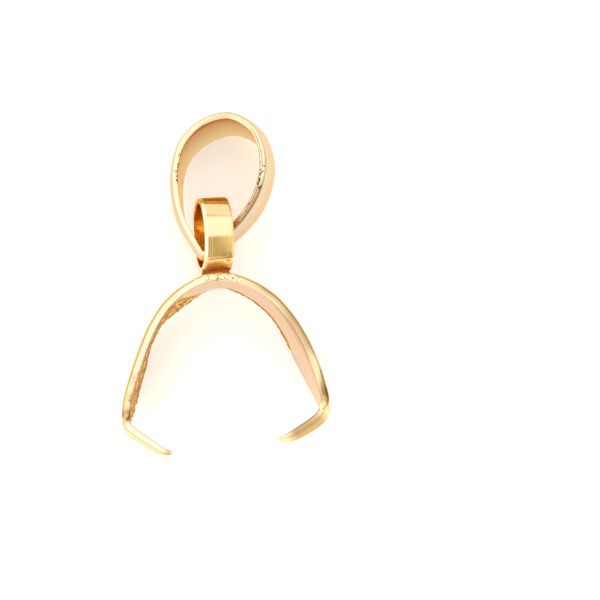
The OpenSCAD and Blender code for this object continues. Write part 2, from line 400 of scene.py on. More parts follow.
class BailFinish(bpy.types.PropertyGroup):
    gold: colour("Gold", "Colour of the ring's plating and of the clip's outer walls", (1.0, 0.79, 0.46))
    rough_gold: colour("Rough gold", "Colour of the arms' rough bands", (1.0, 0.74, 0.28))
    cut: colour("Cut edge", "Colour of the strips' cut edges", (1.0, 0.87, 0.60))
    # Painted shade: darkens the strips' edges, the rough bands' borders and gaps, and a dark reflected
    # line low on the ring
    brown: colour("Worn gold", "Colour of the stains and of the rough bands' gaps", (0.37, 0.18, 0.04))
    # Painted shade inside the pits and the split, and over the bore's darker spots
    pit: colour("Pit", "Colour in the pits of the cut edges", (0.05, 0.025, 0.01))
    # Painted shade at the middle of the darkest painted edge shade
    darkest_shade: colour("Burnt", "Colour in the middle of the darkest stains", (0.18, 0.08, 0.012))
    # Painted reflection of the pale surface on the clip's inner walls
    rose: colour("Pale rose", "Colour of the clip's smooth inner walls", (0.75, 0.73, 0.69))
    # Painted reflection of the pale surface on the loop's outer wall
    blush: colour("Blush", "Colour of the loop's outer wall", (0.67, 0.61, 0.47))
    # Painted reflection: an olive band on the ring's brushed front, whose brushing is only in its
    # roughness and bump
    olive: colour("Olive", "Colour of the ring's brushed front", (0.95, 0.66, 0.24))
    # Painted shade: thin dark lines along the cut edges, a dark reflected seam on the ring and the
    # darker part of the solder's lower side
    rim: colour("Rim", "Colour of the thin lines along the cut edges", (0.60, 0.36, 0.13))
    # Painted highlight on the ring's left rim, and a painted reflection as the ring's low streak
    pale: colour("Pale gold", "Colour of the ring's bright left rim and low streak", (1.0, 0.91, 0.68))
    # Painted shade on the loop's inner wall
    amber: colour("Amber", "Colour of the loop's dull inner wall", (0.87, 0.71, 0.43))
    # Painted shade: the ring's inside is coloured darker than the rest of the ring
    bore: colour("Bore", "Colour of the ring's inside", (0.92, 0.50, 0.08))
    # Painted reflection: the ring's far side is darkened to stand for the shaded surface and the loop
    # reflected in it
    far_side_reflection: colour("Tarnish", "Colour of the ring's dull far side", (0.50, 0.23, 0.016))
    # Painted reflection: amber for the clip's gold reflected in the ring above its solder
    amber_low: colour("Low amber", "Colour of the ring above its solder", (1.0, 0.70, 0.24))
    # Painted shadow on the solder below the ring
    solder_shadow: colour("Seared", "Colour of the solder below the ring", (0.30, 0.085, 0.012))
    # Painted shadow at the ring's foot, where it meets the solder
    foot_shadow: colour("Scorched", "Colour of the ring where it was soldered", (0.30, 0.05, 0.005))
    glow: colour("Glow", "Warm light that comes through the surface", (1.0, 0.90, 0.82))
    surface: colour("Surface", "Colour of the surface that the bail lies on", (0.95, 0.94, 0.935))


class Flow:
    """A socket that number maths can be written with."""

    def __init__(self, paint, socket):
        self.paint, self.socket = paint, socket

    def maths(self, operation, *others, clamp=False):
        return self.paint.maths(operation, self, *others, clamp=clamp)

    def __add__(self, other):
        return self.maths("ADD", other)

    def __radd__(self, other):
        return self.maths("ADD", other)

    def __sub__(self, other):
        return self.maths("SUBTRACT", other)

    def __rsub__(self, other):
        return self.paint.maths("SUBTRACT", other, self)

    def __mul__(self, other):
        return self.maths("MULTIPLY", other)

    def __rmul__(self, other):
        return self.maths("MULTIPLY", other)

    def __truediv__(self, other):
        return self.maths("DIVIDE", other)

    def clamped(self):
        return self.maths("ADD", 0.0, clamp=True)


class Paint:
    """Adds nodes to a material's or the world's tree."""

    def __init__(self, tree):
        self.tree = tree
        tree.nodes.clear()

    def node(self, kind, settings=None, **inputs):
        n = self.tree.nodes.new(kind)
        for key, value in (settings or {}).items():
            setattr(n, key, value)
        for key, value in inputs.items():
            self.feed(n.inputs[key.replace("_", " ")], value)
        return n

    def feed(self, socket, value):
        if isinstance(value, Flow):
            value = value.socket
        if isinstance(value, bpy.types.NodeSocket):
            self.tree.links.new(value, socket)
        else:
            socket.default_value = value

    def maths(self, operation, *values, clamp=False):
        n = self.node("ShaderNodeMath", {"operation": operation, "use_clamp": clamp})
        for socket, value in zip(n.inputs, values):
            self.feed(socket, value)
        return Flow(self, n.outputs[0])

    def flow(self, socket):
        return Flow(self, socket)

    def noise(self, place, scale, detail, rough, dims="3D"):
        """Soft noise over a place, or along a line."""
        settings = {"noise_dimensions": dims}
        n = self.node("ShaderNodeTexNoise", settings, Scale=scale, Detail=detail, Roughness=rough)
        self.feed(n.inputs["W" if dims == "1D" else "Vector"], place)
        return Flow(self, n.outputs["Fac"])

    def step(self, value, low, high):
        """A soft step from 0 at low to 1 at high."""
        settings = {"interpolation_type": "SMOOTHSTEP"}
        n = self.node("ShaderNodeMapRange", settings, Value=value, From_Min=low, From_Max=high)
        return Flow(self, n.outputs["Result"])

    def band(self, value, rise, fall):
        """1 between where a band rises and where it falls, and 0 beside it."""
        return self.step(value, *rise) * (1 - self.step(value, *fall))

    def mix(self, factor, a, b):
        """Colour a, with colour b over it where the factor is 1."""
        n = self.node("ShaderNodeMix", {"data_type": "RGBA"})
        self.feed(n.inputs[0], factor)
        self.feed(n.inputs[6], a)
        self.feed(n.inputs[7], b)
        return n.outputs[2]

    def attribute(self, name):
        return Flow(self, self.node("ShaderNodeAttribute", {"attribute_name": name}).outputs["Fac"])


def opaque(rgb):
    return (rgb[0], rgb[1], rgb[2], 1.0)


class Coat:
    """A gold plating's colour, roughness and height, while its layers are laid on."""

    def __init__(self, name, base):
        self.material = bpy.data.materials.new(name)
        self.material.use_nodes = True
        p = self.paint = Paint(self.material.node_tree)
        self.place = p.node("ShaderNodeTexCoord").outputs["Object"]
        self.smear = p.noise(self.place, *SMEARS)
        stretched = p.node("ShaderNodeMapping", Scale=WIPE_STRETCH, Vector=self.place)
        wipe = p.noise(stretched.outputs["Vector"], *WIPES)
        deeper = tuple(c * share for c, share in zip(opaque(base), DEEPER_GOLD))
        self.skin = p.mix(p.step(self.smear, 0.35, 0.75) * 0.5, opaque(base), deeper)
        self.rough = 0.10 + p.step(self.smear, 0.45, 0.8) * 0.07 + wipe * 0.05
        self.height = wipe * 0.25 + p.noise(self.place, *DIMPLES) * 0.35

    def lay(self, share, rgb):
        """Lays a colour over the skin, as much as the share says."""
        self.skin = self.paint.mix(share, self.skin, opaque(rgb))

    def finished(self, glance):
        """Joins the layers to the shader. glance tints what is seen at a low angle."""
        p = self.paint
        bump = p.node("ShaderNodeBump", Strength=BUMP_STRENGTH, Distance=BUMP_DEPTH, Height=self.height)
        shader = p.node(
            "ShaderNodeBsdfPrincipled",
            Base_Color=self.skin,
            Metallic=1.0,
            Roughness=self.rough.clamped(),
            Normal=bump.outputs["Normal"],
            Specular_Tint=glance,
        )
        p.node("ShaderNodeOutputMaterial", Surface=shader.outputs["BSDF"])
        return self.material


def wear_strip(coat, finish, inside, outside):
    """Lays a strip's walls, rims, painted shade, rough bands, pits and split on its plating; the inner
    walls and the loop's outer wall carry painted reflection or shade, and the rim lines, the rough
    bands' gaps, the pits and the split carry painted shade.
    """
    p = coat.paint
    wear, pitted, outer, stain = (p.attribute(n) for n in ("worn", "pitted", "outer", "stain"))
    # Inner walls are painted rose on the clip as a reflection and amber on the loop as shade, and the
    # loop's outer wall pale pink as a reflection; the clip's outer wall stays plain gold
    wall = 1 - p.step(outer, *INNER_WALL)
    coat.lay(wall * (1 - wear).clamped(), inside)
    coat.lay(wall * wear, finish.rough_gold)
    coat.lay(p.step(outer, *OUTER_WALL), outside)
    # Painted shade: thin dark lines along the rims
    coat.lay((p.band(outer, *INNER_LINE) + p.band(outer, *OUTER_LINE)) * 0.9, finish.rim)
    # Painted shade along the edges, deepest where it is strongest
    coat.lay((stain * (0.6 + coat.smear * 0.8)).clamped(), finish.brown)
    coat.lay(p.step(stain, 0.8, 1.0) * 0.8, finish.darkest_shade)
    # Painted shade along the rough bands' borders and in the gaps between their teeth
    border = wall * p.band(wear, (0.25, 0.45), (0.6, 0.85))
    coat.lay(border * 0.8, finish.brown)
    grain = p.noise(coat.place, *GRAIN)
    relief = grain * 0.6 + p.noise(coat.place, *TEETH) * 0.75
    coat.lay(p.step(relief + wear * 0.34, 0.90, 1.02) * 0.9, finish.brown)
    # Painted shade: the pits and the split are darkened to near black
    pits = p.step(p.noise(coat.place, *SPECKS) + pitted * 0.36, 0.83, 0.89)
    aside = (outer - SPLIT_MIDDLE).maths("ABSOLUTE")
    split = p.attribute("groove") * (1 - p.step(aside, *SPLIT_SIDE))
    coat.lay(pits.maths("MAXIMUM", split * 0.75) * (1 - wall * 0.6), finish.pit)
    coat.rough = coat.rough + wear * 0.12 + pits * 0.3 + stain * 0.08
    coat.height = coat.height + wear * grain * 4.0 - pits * 3.0 - split * 6.0


def clip_gold(finish):
    """Pale cut edges, inner walls painted rose as a reflection of the pale surface, and golden outer
    ones.
    """
    coat = Coat("gold_clip", finish.cut)
    wear_strip(coat, finish, finish.rose, finish.gold)
    return coat.finished(WHITE_GLANCE)


def loop_gold(finish):
    """Pale cut edges, inner walls painted amber as shade, and outer ones painted pale pink as a
    reflection of the surface.
    """
    coat = Coat("gold_loop", finish.cut)
    wear_strip(coat, finish, finish.amber, finish.blush)
    return coat.finished(WHITE_GLANCE)


def ring_gold(finish):
    """Brushed gold with bands of painted reflection and shade round the ring and a painted highlight on
    its left rim.
    """
    coat = Coat("gold_ring", finish.gold)
    p = coat.paint
    axes = p.node("ShaderNodeSeparateXYZ", Vector=coat.place).outputs
    fore = RING_CENTRE.y * MM - p.flow(axes["Y"])
    turn = fore.maths("ARCTAN2", p.flow(axes["Z"]) - RING_CENTRE.z * MM)
    wavy = turn + (coat.smear - 0.5) * BAND_WAVE
    # Painted reflection: the far side darkens as the shaded surface and the loop reflected in it
    coat.lay(1 - p.step(turn, *FAR_SIDE), finish.far_side_reflection)
    # Painted reflection: a thin dark seam across the ring's top
    coat.lay(p.band(wavy, *TOP_SEAM) * 0.45, finish.rim)
    # Painted reflection: an olive band on the brushed front
    coat.lay(p.step(wavy, *FRONT_RISES) * (1 - p.step(turn, *FRONT_FALLS)), finish.olive)
    # Painted reflection: a dark line low on the front
    coat.lay(p.band(turn, *LOW_LINE) * 0.8, finish.brown)
    # Painted reflection: a pale streak below it, where the bright surface is reflected
    coat.lay(p.band(turn, *LOW_STREAK), finish.pale)
    # Painted reflection: amber from the clip's gold above the solder
    coat.lay(p.step(turn, *LOW_AMBER), finish.amber_low)
    # Painted shadow: the foot darkens where it meets the solder
    coat.lay(p.step(turn, *FOOT_SHADOW_TURN), finish.foot_shadow)
    dot = p.node("ShaderNodeVectorMath", {"operation": "DOT_PRODUCT"}, Vector=coat.place)
    dot.inputs[1].default_value = RING_AXIS
    along = p.flow(dot.outputs["Value"])
    # Painted highlight along the ring's left rim
    left = (RING_CENTRE.dot(RING_AXIS) - LEFT_RIM) * MM - along
    coat.lay(p.step(left, 0, LEFT_RIM_FADE * MM), finish.pale)
    lines = p.noise(along, *BRUSH_LINES, dims="1D")
    coat.rough = coat.rough + p.step(lines, 0.35, 0.7) * 0.16 + p.step(turn, *DULL_FOOT) * 0.3
    coat.height = coat.height + lines * 0.9
    return coat.finished(AMBER_GLANCE)


def bore_gold(finish):
    """Lumpy gold for the ring's inside, painted dark orange as shade, with darker spots."""
    coat = Coat("gold_bore", finish.bore)
    p = coat.paint
    blob = p.noise(coat.place, *BLOBS)
    # Painted shade: darker spots over the bore
    coat.lay(p.step(blob, 0.58, 0.7) * 0.35, finish.pit)
    coat.rough = coat.rough + p.step(blob, 0.4, 0.7) * 0.18
    coat.height = coat.height + blob * 3.0
    return coat.finished(WHITE_GLANCE)


def solder_gold(finish):
    """Pale gold with painted shade, and then a painted shadow, down the solder's front."""
    coat = Coat("gold_solder", finish.cut)
    p = coat.paint
    axes = p.node("ShaderNodeSeparateXYZ", Vector=coat.place).outputs
    up = p.flow(axes["Z"]) - RING_CENTRE.z * MM
    # Painted shade, and lower down a painted shadow, on the solder below the ring
    coat.lay((1 - p.step(up, *SOLDER_BROWN)) * 0.8, finish.rim)
    coat.lay(1 - p.step(up, *SOLDER_SHADOW_HEIGHT), finish.solder_shadow)
    return coat.finished(WHITE_GLANCE)


def deselect():
    bpy.ops.object.select_all(action="DESELECT")


def only(piece):
    deselect()
    piece.select_set(True)
    bpy.context.view_layer.objects.active = piece


def edit(piece):
    """Opens a piece in edit mode and gives its mesh."""
    only(piece)
    bpy.ops.object.mode_set(mode="EDIT")
    return bmesh.from_edit_mesh(piece.data)


def done():
    bpy.ops.object.mode_set(mode="OBJECT")


def pick(bm, points=()):
    """Selects the given points and nothing else."""
    for v in bm.verts:
        v.select = False
    for v in points:
        v.select = True
    bm.select_flush_mode()


def layers(bm, kind, names):
    """The named marks that a mesh's points carry."""
    return (getattr(bm.verts.layers, kind)[name] for name in names)


def modifier(piece, kind, **settings):
    """Adds a modifier with its settings and applies it."""
    only(piece)
    bpy.ops.object.modifier_add(type=kind)
    m = piece.modifiers[-1]
    for key, value in settings.items():
        setattr(m, key, value)
    bpy.ops.object.modifier_apply(modifier=m.name)


def weigh(piece, name, weights):
    """Gives a piece a vertex group with a weight for each of its points."""
    group = piece.vertex_groups.new(name=name)
    for index, weight in enumerate(weights):
        group.add([index], weight, "REPLACE")


def between(a, b, c, d, t):
    """A smooth run through four neighbouring rows, t from 0 to 1 between b and c."""

    def blend(p, q, r, s):
        square, cube = 2 * p - 5 * q + 4 * r - s, 3 * q - p - 3 * r + s
        return 0.5 * (2 * q + (r - p) * t + square * t * t + cube * t**3)

    return tuple(blend(*four) for four in zip(a, b, c, d))


def smooth_run(rows, steps, closed):
    """Stations on a smooth run through the rows, so many steps from each to the next."""
    n = len(rows)
    if closed:
        ends = [(rows[i - 1], rows[i], rows[(i + 1) % n], rows[(i + 2) % n]) for i in range(n)]
        return [between(*four, k / steps) for four in ends for k in range(steps)]
    ends = [(rows[max(i - 1, 0)], rows[i], rows[i + 1], rows[min(i + 2, n - 1)]) for i in range(n - 1)]
    return [between(*four, k / steps) for four in ends for k in range(steps)] + [rows[-1]]


def guide_curve(points, closed):
    """The middle line that a straight blank is bent along."""
    data = bpy.data.curves.new("guide", "CURVE")
    data.dimensions = "2D"
    spline = data.splines.new("POLY")
    spline.points.add(len(points) - 1)
    for point, (x, y) in zip(spline.points, points):
        point.co = (x, y, 0, 1)
    spline.use_cyclic_u = closed
    guide = bpy.data.objects.new("guide", data)
    bpy.context.scene.collection.objects.link(guide)
    return guide


def blank(name, stations, full_width, full_dome):
    """A flat leaf shaped blank along X, its outer side towards +Y, Z across it."""
    travelled = [0.0]
    for a, b in zip(stations, stations[1:]):
        travelled.append(travelled[-1] + math.dist(a[:2], b[:2]))
    deselect()
    bpy.ops.mesh.primitive_grid_add(
        x_subdivisions=len(stations) - 1,
        y_subdivisions=COLUMNS - 1,
        size=2,
        rotation=(math.pi / 2, 0, 0),
    )
    piece = bpy.context.object
    piece.name = piece.data.name = name
    bpy.ops.object.transform_apply(location=False, rotation=True, scale=False)
    bm = edit(piece)
    for mark in ("row", "column"):
        bm.verts.layers.int.new(mark)
    row_mark, column_mark = layers(bm, "int", ("row", "column"))
    order = sorted(bm.verts, key=lambda v: (round(v.co.x, 5), v.co.z))
    for row, (distance, station) in enumerate(zip(travelled, stations)):
        line = order[row * COLUMNS : (row + 1) * COLUMNS]
        for column, v in enumerate(line):
            v[row_mark], v[column_mark] = row, column
        shape_line(bm, line, distance, station, full_dome * (station[2] / full_width) ** 2)
    done()
    return piece


def shape_line(bm, line, distance, station, dome):
    """Sets one line of a blank's points to its width, dome, lean and place along it."""
    x = line[0].co.x
    centre = (x, 0, 0)
    half, lean = station[2] / 2, station[4]
    places = (half, half - min(SUPPORT, half * SUPPORT_SHARE), half / 2, 0)
    for depth, place in enumerate(places[:-1]):
        at = line[depth : COLUMNS - depth]
        pick(bm, at)
        bpy.ops.transform.resize(value=(1, 1, place / at[-1].co.z), center_override=centre)
    for depth, place in enumerate(places[1:], start=1):
        pick(bm, {line[depth], line[-1 - depth]})
        bpy.ops.transform.translate(value=(0, dome * (1 - (place / half) ** 2), 0))
    pick(bm, line)
    if lean:
        bpy.ops.transform.rotate(
            value=-math.radians(lean), orient_axis="X", center_override=centre
        )
    bpy.ops.transform.translate(value=(distance - x, 0, 0))


def thicken(piece, stations, zones):
    """Gives a blank its wall, and marks each point with what zones says of it.

    zones gives the wear, pitting, groove and painted shade at a share of the strip's
    length, on its inner (0) or outer (1) side and at a share of the way across."""
    thickest = max(station[3] for station in stations)
    rows = [d.value for d in piece.data.attributes["row"].data]
    weigh(piece, "thickness", (stations[row][3] / thickest for row in rows))
    flat_count = len(rows)
    modifier(piece, "SOLIDIFY", thickness=thickest, offset=0, vertex_group="thickness")
    points = piece.data.vertices
    first_is_outer = points[COLUMNS // 2].co.y > points[COLUMNS // 2 + flat_count].co.y
    bm = edit(piece)
    for mark in MARKS:
        bm.verts.layers.float.new(mark)
    row_mark, column_mark = layers(bm, "int", ("row", "column"))
    side, worn, pitted, groove, stain = layers(bm, "float", MARKS)
    for v in bm.verts:
        along, across = v[row_mark] / (len(stations) - 1), v[column_mark] / (COLUMNS - 1)
        v[side] = 1.0 if (v.index < flat_count) == first_is_outer else 0.0
        v[worn], v[pitted], v[groove], v[stain] = zones(along, v[side], across)
    done()


def bend(piece, run, closed):
    """Bends a blank along its run, and joins its ends where the run is closed."""
    if closed:
        bm = edit(piece)
        (row_mark,) = layers(bm, "int", ("row",))
        end_caps = [f for f in bm.faces if len({v[row_mark] for v in f.verts}) == 1]
        pick(bm)
        for f in end_caps:
            f.select = True
        bpy.ops.mesh.delete(type="ONLY_FACE")
        done()
    guide = guide_curve([station[:2] for station in run], closed)
    modifier(piece, "CURVE", object=guide, deform_axis="POS_X")
    bpy.data.objects.remove(guide)
    edit(piece)
    bpy.ops.mesh.select_all(action="SELECT")
    bpy.ops.mesh.remove_doubles(threshold=MERGE)
    bpy.ops.mesh.normals_make_consistent(inside=False)
    done()


def round_rims(piece, stations, rim):
    """Rounds the outer rims of a strip's wide part and keeps its inner ones tighter."""
    bm = edit(piece)
    row_mark, column_mark = layers(bm, "int", ("row", "column"))
    (side,) = layers(bm, "float", ("outer",))
    crease = bm.edges.layers.float.get("crease_edge") or bm.edges.layers.float.new("crease_edge")
    outer_rims = []
    for e in bm.edges:
        a, b = e.verts
        at_rim = a[column_mark] == b[column_mark] and a[column_mark] in (0, COLUMNS - 1)
        wide = min(stations[v[row_mark]][2] for v in e.verts) > ROUNDED_FROM
        if at_rim and wide and a[row_mark] != b[row_mark]:
            if a[side] > 0.5:
                outer_rims.append(e)
            else:
                e[crease] = INNER_CREASE
    pick(bm)
    for e in outer_rims:
        e.select = True
    bpy.ops.mesh.bevel(offset=rim, segments=2, affect="EDGES", clamp_overlap=True)
    done()


def roughen(piece, height):
    """Smooths a strip, and raises teeth of the given height where it is worn."""
    weigh(piece, "worn", [d.value for d in piece.data.attributes["worn"].data])
    modifier(piece, "SUBSURF", levels=2, render_levels=2)
    bm = edit(piece)
    (worn,) = layers(bm, "float", ("worn",))
    pick(bm)
    for f in bm.faces:
        f.select = min(v[worn] for v in f.verts) > ROUGH_FROM
    bpy.ops.mesh.subdivide(number_cuts=1)
    done()
    teeth = ripples(piece.name + "_teeth", TEETH_SIZE)
    modifier(
        piece, "DISPLACE", texture=teeth, strength=height, mid_level=0.5, vertex_group="worn"
    )


def bent_strip(name, run, closed, width, dome, zones, rim, teeth):
    """A leaf shaped blank is given its wall, bent along its run and finished.

    A station of the run is x, y, width, thickness, lean in degrees."""
    stations = list(run) + ([run[0]] if closed else [])
    piece = blank(name, stations, width, dome)
    thicken(piece, stations, zones)
    bend(piece, run, closed)
    round_rims(piece, stations, rim)
    roughen(piece, teeth)
    return piece


def ripples(name, size):
    """A soft cloud that a surface is pushed in and out by."""
    texture = bpy.data.textures.new(name, "CLOUDS")
    texture.noise_scale = size
    texture.noise_depth = 1
    return texture


def settle(piece, body, material):
    """Brings a piece to metres, seats it, paints it and lets it ride."""
    only(piece)
    piece.scale = (MM, MM, MM)
    piece.location = piece.location * MM
    bpy.ops.object.transform_apply(location=True, rotation=True, scale=True)
    lowest = min(v.co.z for v in piece.data.vertices)
    if lowest < 0:
        piece.location.z = -lowest
        bpy.ops.object.transform_apply(location=True, rotation=False, scale=False)
    piece.data.materials.clear()
    piece.data.materials.append(material)
    bpy.ops.object.shade_smooth_by_angle(angle=math.radians(SHARP_DEGREES))
    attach(piece, body)


def ramp(value, low, high):
    """A straight step from 0 at low to 1 at high."""
    return min(max((value - low) / (high - low), 0.0), 1.0)


def zone(value, rise, fall):
    """1 between where a stretch rises and where it falls, and 0 beside it."""
    return ramp(value, *rise) * (1 - ramp(value, *fall))


def clip_painted_shade(row, outer, across):
    """Painted shade along the clip's upper edge, and a painted dark line along its arms' lower one."""
    amount = 0.0
    for first, last, inner_share, outer_share, strength, reach in CLIP_PAINTED_SHADES:
        middle, half = (first + last) / 2, (last - first) / 2
        here = 1 - ramp(abs(row - middle), half * 0.5, half)
        side = inner_share + (outer_share - inner_share) * outer
        upper = ramp(across, reach, reach + PAINTED_SHADE_FADE)
        amount = max(amount, here * side * strength * upper)
    arms = max(zone(row, *LEFT_LINE_ROWS), zone(row, *RIGHT_LINE_ROWS))
    return max(amount, arms * (1 - outer) * (1 - ramp(across, *LOWER_LINE)))


def clip_wear(row, outer, across):
    """The left arm's inner side is rough below its shoulder, the right one's lower edge too."""
    inside = 1.0 - outer
    if row < APEX_ROW:
        reach = 1 - ramp(row, *LEFT_NARROWING_ROWS)
        if reach == 0:
            return 0.0, 0.0
        left = ramp(reach + 0.1 - across, 0, 0.12) * ramp(row, *LEFT_ROUGH_ROWS)
        rough = inside * left * (1 - 0.6 * ramp(across, *UPPER_CUT))
        return rough, rough * (0.35 + 0.4 * across)
    rough = inside * zone(row, *RIGHT_ROUGH_ROWS) * (1 - ramp(across, *LOWER_TEETH))
    return rough, rough


def clip_zones(along, outer, across):
    row = along * CLIP_ROWS
    return (*clip_wear(row, outer, across), 0.0, clip_painted_shade(row, outer, across))


def loop_wear(row, outer, across):
    """The loop's upper cut edge is pitted on its right side and speckled on its left."""
    edge = ramp(across, *UPPER_CUT) * (1 - outer * 0.35)
    right = zone(row, *LOOP_PITTED_ROWS) * 0.62
    black = zone(row, *LOOP_BLACK_ROWS)
    left = zone(row, *LOOP_SPECKLED_ROWS) * (1 - outer)
    return edge * max(right, left * 0.5), edge * max(right, black, left * 0.8)


def loop_groove(row, across):
    """The upper cut edge is split along its middle on the loop's right side."""
    return ramp(across, *UPPER_SPLIT) * zone(row, *LOOP_SPLIT_ROWS)


def loop_painted_shade(row, outer, across):
    """Painted shade: the inner wall darkens upwards at the loop's top, and the right side's outer rim
    darkens.
    """
    top = max(ramp(row, *LOOP_TOP_LEFT_ROWS), 1 - ramp(row, *LOOP_TOP_RIGHT_ROWS))
    rim = ramp(across, *UPPER_RIM)
    shade = top * (1 - outer) * ramp(across, *WALL_SHADE) * (1 - 0.8 * rim)
    return max(shade, zone(row, *LOOP_LOW_DARK_ROWS) * outer * rim * 0.9)


def loop_zones(along, outer, across):
    row = along * LOOP_TURN_ROWS
    wear = loop_wear(row, outer, across)
    return (*wear, loop_groove(row, across), loop_painted_shade(row, outer, across))


def clip_run(sizes):
    """The clip's stations from its left prong's tip over the apex to its right one."""

    def place(row, hand):
        return (hand * row[0] * sizes.arm_reach, -sizes.apex_drop - row[1] * sizes.arm_drop)

    def arm(row, hand, lean):
        return (*place(row, hand), row[2] * sizes.leaf_width, row[3] * sizes.thickness, row[4] * lean)

    def foot(row, hand, lean):
        return (*place(row, hand), row[2] * sizes.prong_thickness, row[3] * sizes.prong_thickness, lean)

    rows = [foot(row, -1, 0.0) for row in reversed(LEFT_FOOT_ROWS)]
    rows += [arm(row, -1, math.degrees(sizes.left_lean)) for row in reversed(LEFT_ARM_ROWS[1:])]
    rows += [arm(row, 1, -math.degrees(sizes.right_lean)) for row in RIGHT_ARM_ROWS]
    rows += [foot(row, 1, math.degrees(sizes.prong_twist)) for row in RIGHT_FOOT_ROWS]
    return smooth_run(rows, CLIP_STEPS, False)


def loop_run(sizes):
    """The loop's stations from its top round by the right and back."""
    rows = [
        (
            across * sizes.reach,
            up * sizes.length - sizes.tip_drop,
            sizes.tip_width + share * (sizes.width - sizes.tip_width),
            sizes.thickness,
            lean * math.degrees(sizes.lean),
        )
        for across, up, share, lean in LOOP_ROWS
    ]
    return smooth_run(rows, LOOP_STEPS, True)


class BAIL_OT_clip(bpy.types.Operator):
    """Bends the clip's strip with its two arms and prongs"""

    bl_idname = "bail.clip"
    bl_label = "Clip strip"

    def execute(self, context):
        sizes = context.scene.bail_clip
        piece = bent_strip(
            "clip_strip",
            clip_run(sizes),
            closed=False,
            width=sizes.leaf_width,
            dome=sizes.dome,
            zones=clip_zones,
            rim=CLIP_RIM,
            teeth=CLIP_TEETH_HEIGHT,
        )
        piece.location = RING_CENTRE - Vector((sizes.ring_offset, 0, 0))
        settle(piece, "clip", clip_gold(context.scene.bail_finish))
        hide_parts("pinch_clip")
        return {"FINISHED"}


class BAIL_OT_ring(bpy.types.Operator):
    """Turns the ring's band, rims and bore"""

    bl_idname = "bail.ring"
    bl_label = "Ring"

    def execute(self, context):
        sizes, finish = context.scene.bail_ring, context.scene.bail_finish
        wall = sizes.outer_r - sizes.inner_r
        middle = (sizes.outer_r + sizes.inner_r) / 2
        deselect()
        bpy.ops.mesh.primitive_plane_add(
            size=1, location=(middle, 0, 0), rotation=(math.pi / 2, 0, 0)
        )
        piece = context.object
        piece.name = piece.data.name = "ring_band"
        piece.scale = (wall, sizes.band, 1)
        bpy.ops.object.transform_apply(location=True, rotation=True, scale=True)
        edit(piece)
        for rim, outer in ((sizes.bore_rim, False), (sizes.rim, True)):
            bm = bmesh.from_edit_mesh(piece.data)
            pick(bm, [v for v in bm.verts if (v.co.x > middle) == outer])
            bpy.ops.mesh.bevel(offset=rim, segments=RIM_SEGMENTS, affect="VERTICES")
        bpy.ops.mesh.select_all(action="SELECT")
        bpy.ops.mesh.delete(type="ONLY_FACE")
        bpy.ops.mesh.select_all(action="SELECT")
        bpy.ops.mesh.spin(steps=RING_STEPS, angle=math.tau, center=(0, 0, 0), axis=(0, 0, 1))
        bpy.ops.mesh.select_all(action="SELECT")
        bpy.ops.mesh.remove_doubles(threshold=MERGE)
        bpy.ops.mesh.normals_make_consistent(inside=False)
        done()
        piece.rotation_mode = "QUATERNION"
        piece.rotation_quaternion = RING_AXIS.to_track_quat("Z", "Y")
        piece.location = RING_CENTRE
        settle(piece, "clip", ring_gold(finish))
        piece.data.materials.append(bore_gold(finish))
        centre = RING_CENTRE * MM
        for face in piece.data.polygons:
            out = face.center - centre
            out -= RING_AXIS * out.dot(RING_AXIS)
            if face.normal.dot(out.normalized()) < BORE_FACING:
                face.material_index = 1
        return {"FINISHED"}


class BAIL_OT_solder(bpy.types.Operator):
    """Melts a lumpy seam between the ring and the clip's apex"""

    bl_idname = "bail.solder"
    bl_label = "Solder"

    def execute(self, context):
        scene = context.scene
        sizes = scene.bail_solder
        inside, outside = scene.bail_ring.outer_r - SOLDER_BITE, scene.bail_clip.apex_drop
        deselect()
        bpy.ops.mesh.primitive_cube_add(size=1, location=(0, -(inside + outside) / 2, 0))
        piece = context.object
        piece.name = piece.data.name = "solder_seam"
        piece.scale = (sizes.length, outside - inside, sizes.width)
        bpy.ops.object.transform_apply(location=True, rotation=True, scale=True)
        lumps = []
        for across, down, up, radius in SOLDER_LUMPS:
            deselect()
            bpy.ops.mesh.primitive_ico_sphere_add(
                subdivisions=3, radius=radius * sizes.lump, location=(across, -down, up)
            )
            bpy.ops.transform.resize(value=LUMP_STRETCH)
            lumps.append(context.object)
        only(piece)
        for lump in lumps:
            lump.select_set(True)
        bpy.ops.object.join()
        bpy.ops.object.transform_apply(location=True, rotation=True, scale=True)
        modifier(piece, "REMESH", mode="VOXEL", voxel_size=SOLDER_GRAIN, use_smooth_shade=True)
        modifier(piece, "SMOOTH", factor=SOLDER_SOFTNESS, iterations=SOLDER_SOFTENINGS)
        texture = ripples("solder_ripple", SOLDER_RIPPLE_SIZE)
        modifier(piece, "DISPLACE", texture=texture, strength=SOLDER_RIPPLE, mid_level=0.5)
        modifier(piece, "SUBSURF", levels=1, render_levels=1)
        piece.location = RING_CENTRE
        settle(piece, "clip", solder_gold(scene.bail_finish))
        return {"FINISHED"}


class BAIL_OT_loop(bpy.types.Operator):
    """Bends the leaf shaped loop that a chain goes through"""

    bl_idname = "bail.loop"
    bl_label = "Loop"

    def execute(self, context):
        sizes = context.scene.bail_loop
        piece = bent_strip(
            "loop_strip",
            loop_run(sizes),
            closed=True,
            width=sizes.width,
            dome=sizes.dome,
            zones=loop_zones,
            rim=LOOP_RIM,
            teeth=LOOP_TEETH_HEIGHT,
        )
        only(piece)
        piece.rotation_mode = "YXZ"
        piece.rotation_euler = (-sizes.dip, -sizes.lift, sizes.turn)
        bpy.ops.object.transform_apply(location=False, rotation=True, scale=False)
        low, high = (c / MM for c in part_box("bail_loop"))
        mine = [v.co for v in piece.data.vertices]
        middle = Vector((min(c[k] for c in mine) + max(c[k] for c in mine)) / 2 for k in range(3))
        piece.location = (low + high) / 2 - middle
        settle(piece, "loop", loop_gold(context.scene.bail_finish))
        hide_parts("bail_loop")
        return {"FINISHED"}


